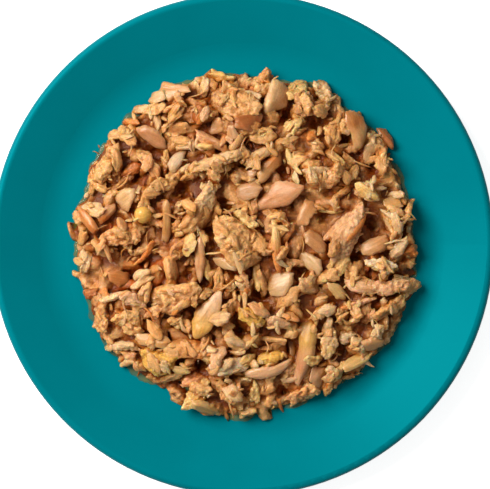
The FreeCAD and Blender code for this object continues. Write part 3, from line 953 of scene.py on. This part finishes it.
def grown_together(kind, voxel, material):
    """One crumbly piece of all of a kind; each place looks like the flake nearest to it."""
    points, quads, tris = joined(kind.shapes)
    grown, normals, faces = voxel_remeshed(points, quads, tris, voxel)
    count = len(grown)
    nearest = nearest_indices(points, grown)
    grains = np.concatenate(kind.grains)[nearest] + (grown - points[nearest])
    x, y, z = grown.T
    crumbs = noise(x, y, z) + noise(x * 2.1 + 5, y * 2.1, z * 2.1)
    fibres = noise(grains[:, 0] * 0.15, grains[:, 1] * 1.1, grains[:, 2] * 1.1)
    crumbly = np.clip(0.5 + 1.2 * noise(x * 0.13 + 9, y * 0.13, 3.0), 0, 1)
    relief = (0.10 + 0.22 * crumbly) * crumbs + (0.24 - 0.12 * crumbly) * fibres
    # Painted light and shade: raised crumbs turn paler, sunk ones darker and redder.
    lit = np.clip(relief, -0.5, 0.3)[:, None] * (0.7, 1.0, 1.3)
    tints = np.concatenate(kind.tints)[nearest] * (1 + lit)

    # The flat underside becomes a fan of triangles.
    under = (z < WELL + 0.3 * voxel)[faces].all(axis=1)
    faces = faces[~under]
    edges = beside(faces, np.roll(faces, -1, axis=1)).reshape(-1, 2)
    there = edges[:, 0].astype(np.int64) * count + edges[:, 1]
    back = edges[:, 1].astype(np.int64) * count + edges[:, 0]
    rim = edges[~np.isin(there, back)]
    fan = beside(rim[:, 1], rim[:, 0], count)
    loose_share = np.clip((z - WELL - 0.3) / 0.8, 0, 1)
    hub = (*HEAP_CENTRE, WELL)
    grown = np.concatenate([grown + normals * (relief * loose_share)[:, None], [hub]])
    used, place = np.unique(np.concatenate([faces.ravel(), fan.ravel()]), return_inverse=True)
    quads, tris = place[:faces.size].reshape(-1, 4), place[faces.size:].reshape(-1, 3)
    piece = make_piece(kind.name, grown[used], quads, tris, material)
    by_hub = np.argmin(((grown[:-1] - hub) ** 2).sum(axis=1))
    look = np.append(np.arange(count), by_hub)[used]
    paint(piece.data, gap_shaded(tints[look], grown[used]), grains[look])
    return piece


def make_juice(columns=360, rows=10):
    """A thin film of clear juice on the well, reaching a little beyond the heap."""
    angle = all_round(columns)
    edge = outline_radius(angle)
    ring = 12.0
    beyond = -0.6 + noise(np.cos(angle) * ring, np.sin(angle) * ring, 1.0)
    beyond = beyond + 0.5 * noise(np.cos(angle) * 3 * ring, np.sin(angle) * 3 * ring, 2.0)
    across = np.linspace(0, 1, rows)[:, None]
    reach = (edge - 5.0) * (1 - across) + (edge + beyond) * across
    x = HEAP_CENTRE[0] + reach * np.cos(angle)
    y = HEAP_CENTRE[1] + reach * np.sin(angle)
    base = plate_top(np.hypot(x, y))
    film = 0.05 + 0.40 * np.sqrt(1 - across**4)
    points = np.stack([beside(x, y, base + film), beside(x, y, base + 0.02)]).reshape(-1, 3)
    index = np.arange(len(points)).reshape(2, rows, columns)
    turned = np.roll(index, -1, axis=2)
    quads = np.concatenate([
        quads_of(index[0, :-1], index[0, 1:], turned[0, 1:], turned[0, :-1]),
        quads_of(index[1, :-1], turned[1, :-1], turned[1, 1:], index[1, 1:]),
        quads_of(index[0, -1], index[1, -1], turned[1, -1], turned[0, -1]),
        quads_of(index[0, 0], turned[0, 0], turned[1, 0], index[1, 0]),
    ])
    n = Nodes("juice")
    mottle = n.noise(n.place(), 300.0, 3.0, 0.5)
    share = n.ramp(mottle, 0.0, 1.0)
    n.set(
        Base_Color=n.mixed(share, (0.16, 0.16, 0.01, 1.0), (0.34, 0.27, 0.03, 1.0)),
        Roughness=0.12,
        Alpha=n.ramp(mottle, 0.16, 0.30),
    )
    return make_piece("juice", points, quads, np.zeros((0, 3), int), n.material)


def scatter(kind, count, lengths, aspect, reach, seed, between=False, **how):
    """Flakes spread evenly over the heap, each with its own size, turn and tone.

    reach is a share of the outline's radius; between keeps them off the large flakes.
    """
    rng = np.random.default_rng(seed)
    for n in rng.permutation(count):
        angle = n * GOLDEN_ANGLE + seed
        out = math.sqrt((n + 0.5) / count) * reach * outline_radius(angle)
        x = HEAP_CENTRE[0] + out * math.cos(angle) + rng.normal(0, 0.8)
        y = HEAP_CENTRE[1] + out * math.sin(angle) + rng.normal(0, 0.8)
        length = rng.uniform(*lengths)
        width = length * rng.uniform(*aspect)
        turn = rng.uniform(0, 360)
        mood = 0.5 + 0.45 * noise(x * 0.08, y * 0.08, 7.5) + rng.normal(0, 0.20)
        tone = PLAIN_TONES[np.searchsorted(np.cumsum(PLAIN_SHARES), np.clip(mood, 0, 0.99))]
        over_hollow = min(math.hypot(x - a, y - b) for a, b in HOLLOWS) < 1.0 + 0.18 * length
        if not over_hollow and not (between and ground.taken[ground.cells(x, y)]):
            kind.lay(x, y, length, width, turn, tone, **how)


make_stage()
make_light()
make_camera()

smooth_flesh = flesh_material("smooth_flesh", 0.18, 0.30, 0.25, 0.5)
fibrous_flesh = flesh_material("fibrous_flesh", 0.30, 0.34, 0.5, 0.30)

mass = Kind("flaked_mass", make_shred, 20)
shreds = Kind("shreds", make_shred, 21)
crumbs = Kind("crumbs", make_crumb, 29)
fibres = Kind("fibres", make_fibre, 22)
chunks = Kind("fibrous_flakes", make_chunk, 25)
torn = Kind("torn_flakes", make_chunk, 30)
# rim: painted highlight on the edges of the small and smooth flakes.
small = Kind("small_flakes", make_shard, 28, rim=0.2)
slabs = Kind("smooth_flakes", make_slab, 24, rim=0.35, lightness=0.84)
strips = Kind("strips", make_strip, 26)
balls = Kind("golden_ball", make_ball, 27)

# The bed, from the dome up, with a skirt of flakes round its foot.
make_dome(mass)
mass.maker = make_lump
scatter(mass, 200, (5, 12), (0.34, 0.6), reach=0.955, seed=3, sink=0.9)
mass.maker = make_shard
scatter(mass, 220, (6, 12), (0.4, 0.7), reach=0.955, seed=8, sink=0.6, tumble=0.30, most_tilt=0.8)
for n in range(SKIRT_COUNT):
    angle = n * GOLDEN_ANGLE
    out = outline_radius(angle) - mass.rng.uniform(1.5, 4.0)
    length = mass.rng.uniform(3, 6.5)
    turn = math.degrees(angle) + mass.rng.normal(90, 40)
    x, y = HEAP_CENTRE + out * np.array([math.cos(angle), math.sin(angle)])
    tone = mass.rng.choice(("tan", "peach", "pale"))
    mass.lay(x, y, length, length * 0.55, turn, tone, sink=0.8, most_tilt=0.9)
mass.maker = make_shred
scatter(mass, 300, (2.5, 5.5), (0.35, 0.7), reach=0.985, seed=2, sink=0.6)

# The large flakes, with torn ones between them.
for flake in CHUNKS:
    chunks.lay(*flake, sink=0.9, large=True)
for tone, thickness, *corners in SMOOTH_OUTLINES:
    ground.reserve(corners)
scatter(torn, 85, (9, 16), (0.28, 0.42), reach=0.93, seed=12, sink=0.8, between=True, tumble=0.15)
torn.maker = make_shard
scatter(torn, 130, (8, 15), (0.38, 0.60), reach=0.95, seed=13, sink=0.5, between=True,
        tumble=0.25, most_tilt=0.7)
for tone, thickness, *corners in FIBROUS_OUTLINES:
    chunks.cut(corners, thickness, True, tone, large=False, sink=1.0)
for tone, thickness, *corners in SMOOTH_OUTLINES:
    slabs.cut(corners, thickness, False, tone, sink=0.6)
for kind, flakes in ((slabs, SLABS), (strips, STRIPS)):
    for flake in flakes:
        kind.lay(*flake, sink=1.0, large=True)
balls.lay(*GOLDEN_BALL, GOLDEN_BALL[2], 0, "golden", sink=0.8)

# Small bits in the gaps.
mass.maker = make_shred
scatter(mass, 80, (2.5, 5), (0.35, 0.7), reach=0.985, seed=7, sink=0.6, between=True)
mass.maker = make_shard
scatter(mass, 80, (5, 10), (0.4, 0.7), reach=0.965, seed=10, sink=0.7, between=True,
        tumble=0.30, most_tilt=0.8)
scatter(small, 85, (5, 11), (0.35, 0.65), reach=0.965, seed=9, sink=0.5, between=True,
        tumble=0.30, most_tilt=0.8)
scatter(shreds, 150, (2.5, 7), (0.30, 0.50), reach=0.98, seed=4, sink=0.6, between=True)
scatter(crumbs, 330, (1.4, 3.6), (0.35, 0.65), reach=0.98, seed=11, sink=0.4, between=True,
        tumble=0.4)
scatter(fibres, 90, (3, 7), (0.06, 0.11), reach=0.98, seed=5, sink=0.3, between=True)

flaked_mass = grown_together(mass, MASS_VOXEL, fibrous_flesh)
for kind in (chunks, torn):
    grown_together(kind, FLAKE_VOXEL, fibrous_flesh)
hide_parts("food_heap")
for kind in (shreds, crumbs, fibres, strips, small):
    kind.build(fibrous_flesh)
for kind in (slabs, balls):
    kind.build(smooth_flesh)
make_juice()

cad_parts["plate"].data.materials.clear()
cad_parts["plate"].data.materials.append(glaze_material())
